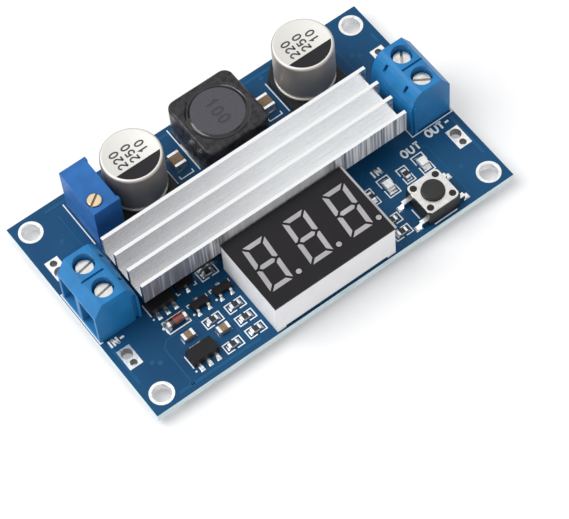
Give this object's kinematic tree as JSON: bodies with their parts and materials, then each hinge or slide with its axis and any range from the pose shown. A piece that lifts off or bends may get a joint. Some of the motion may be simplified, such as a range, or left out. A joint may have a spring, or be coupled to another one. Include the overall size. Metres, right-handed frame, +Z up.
{
  "type": "boost converter module",
  "caption": "Rectangular boost converter board with a screw terminal at each end, a finned heatsink, can capacitors, a shielded inductor, a trimmer, a push button and a digit display.",
  "frame": {"origin": "bottom centre of the module, under the board's middle at the pins' tips", "axes": "+X from the input end to the output end, +Y towards the capacitors, +Z up"},
  "size_m": [0.068, 0.041, 0.0133],
  "materials": {
    "solder_mask": "glossy blue solder mask",
    "tin": "tinned metal",
    "terminal_blue": "moulded blue plastic",
    "screw_nickel": "nickel-plated",
    "clamp_steel": "zinc-plated",
    "sink_aluminium": "plain extruded aluminium",
    "adhesive": "white thermal adhesive",
    "package_black": "moulded black epoxy",
    "can_aluminium": "drawn aluminium",
    "base_black": "black plastic",
    "ferrite": "dark grey ferrite",
    "enamel_copper": "enamelled copper wire",
    "trimmer_blue": "moulded blue plastic",
    "trimmer_brass": "plain brass",
    "shell_white": "moulded white plastic",
    "face_black": "printed black face",
    "segment_grey": "pale diffusing resin",
    "button_black": "moulded black plastic",
    "cover_steel": "tinned steel sheet",
    "resistor_black": "coated ceramic",
    "ceramic_tan": "sintered ceramic",
    "diode_glass": "red-brown glass",
    "lamp_white": "clear and white resin"
  },
  "bodies": {
    "module": {"board": "solder_mask", "corner_rings": "tin", "wire_pads": "tin", "in_terminal_body": "terminal_blue", "in_terminal_contacts": "tin", "out_terminal_body": "terminal_blue", "out_terminal_contacts": "tin", "heatsink": "sink_aluminium", "thermal_pads": "adhesive", "power_transistor_body": "package_black", "power_transistor_leads": "tin", "rectifier_body": "package_black", "rectifier_leads": "tin", "input_capacitor_can": "can_aluminium", "input_capacitor_base": "base_black", "input_capacitor_leads": "tin", "output_capacitor_can": "can_aluminium", "output_capacitor_base": "base_black", "output_capacitor_leads": "tin", "inductor_shield": "ferrite", "inductor_core": "ferrite", "inductor_winding": "enamel_copper", "inductor_terminals": "tin", "trimmer_body": "trimmer_blue", "trimmer_pins": "tin", "display_shell": "shell_white", "display_face": "face_black", "display_segments": "segment_grey", "display_pins": "tin", "button_base": "button_black", "button_cover": "cover_steel", "button_dome": "cover_steel", "button_legs": "tin", "controller_body": "package_black", "controller_leads": "tin", "meter_chip_body": "package_black", "meter_chip_leads": "tin", "gate_regulator_body": "package_black", "gate_regulator_leads": "tin", "meter_regulator_body": "package_black", "meter_regulator_leads": "tin", "transistor_bodies": "package_black", "transistor_leads": "tin", "resistor_bodies": "resistor_black", "resistor_ends": "tin", "ceramic_bodies": "ceramic_tan", "ceramic_ends": "tin", "glass_diode_body": "diode_glass", "glass_diode_caps": "tin", "indicator_leds": "lamp_white"},
    "in_plus_screw": {"in_plus_screw": "screw_nickel"},
    "in_minus_screw": {"in_minus_screw": "screw_nickel"},
    "out_plus_screw": {"out_plus_screw": "screw_nickel"},
    "out_minus_screw": {"out_minus_screw": "screw_nickel"},
    "in_plus_clamp": {"in_plus_clamp": "clamp_steel"},
    "in_minus_clamp": {"in_minus_clamp": "clamp_steel"},
    "out_plus_clamp": {"out_plus_clamp": "clamp_steel"},
    "out_minus_clamp": {"out_minus_clamp": "clamp_steel"},
    "trimmer_screw": {"trimmer_screw": "trimmer_brass"},
    "button": {"button_cap": "button_black"}
  },
  "joints": [
    {"name": "in_plus_turn", "type": "hinge", "parent": "module", "child": "in_plus_screw", "pos_m": [-0.03017, 0.00254, 0.0115], "axis": [0, 0, -1], "range_deg": [0, 1440]},
    {"name": "in_plus_lift", "type": "slide", "parent": "module", "child": "in_plus_clamp", "axis": [0, 0, 1], "range_m": [0, 0.0018]},
    {"name": "in_minus_turn", "type": "hinge", "parent": "module", "child": "in_minus_screw", "pos_m": [-0.03017, -0.00254, 0.0115], "axis": [0, 0, -1], "range_deg": [0, 1440]},
    {"name": "in_minus_lift", "type": "slide", "parent": "module", "child": "in_minus_clamp", "axis": [0, 0, 1], "range_m": [0, 0.0018]},
    {"name": "out_plus_turn", "type": "hinge", "parent": "module", "child": "out_plus_screw", "pos_m": [0.03017, 0.00274, 0.0115], "axis": [0, 0, -1], "range_deg": [0, 1440]},
    {"name": "out_plus_lift", "type": "slide", "parent": "module", "child": "out_plus_clamp", "axis": [0, 0, 1], "range_m": [0, 0.0018]},
    {"name": "out_minus_turn", "type": "hinge", "parent": "module", "child": "out_minus_screw", "pos_m": [0.03017, -0.00234, 0.0115], "axis": [0, 0, -1], "range_deg": [0, 1440]},
    {"name": "out_minus_lift", "type": "slide", "parent": "module", "child": "out_minus_clamp", "axis": [0, 0, 1], "range_m": [0, 0.0018]},
    {"name": "trimmer_turn", "type": "hinge", "parent": "module", "child": "trimmer_screw", "pos_m": [-0.02266, 0.01062, 0.0125], "axis": [0, 0, 1], "continuous": true},
    {"name": "button_press", "type": "slide", "parent": "module", "child": "button", "axis": [0, 0, -1], "range_m": [0, 0.00025], "stiffness_N_per_m": 800}
  ],
  "couplings": [
    {"joint": "in_plus_turn", "follows": "in_plus_lift", "rad_per_m": 13963},
    {"joint": "in_minus_turn", "follows": "in_minus_lift", "rad_per_m": 13963},
    {"joint": "out_plus_turn", "follows": "out_plus_lift", "rad_per_m": 13963},
    {"joint": "out_minus_turn", "follows": "out_minus_lift", "rad_per_m": 13963}
  ]
}
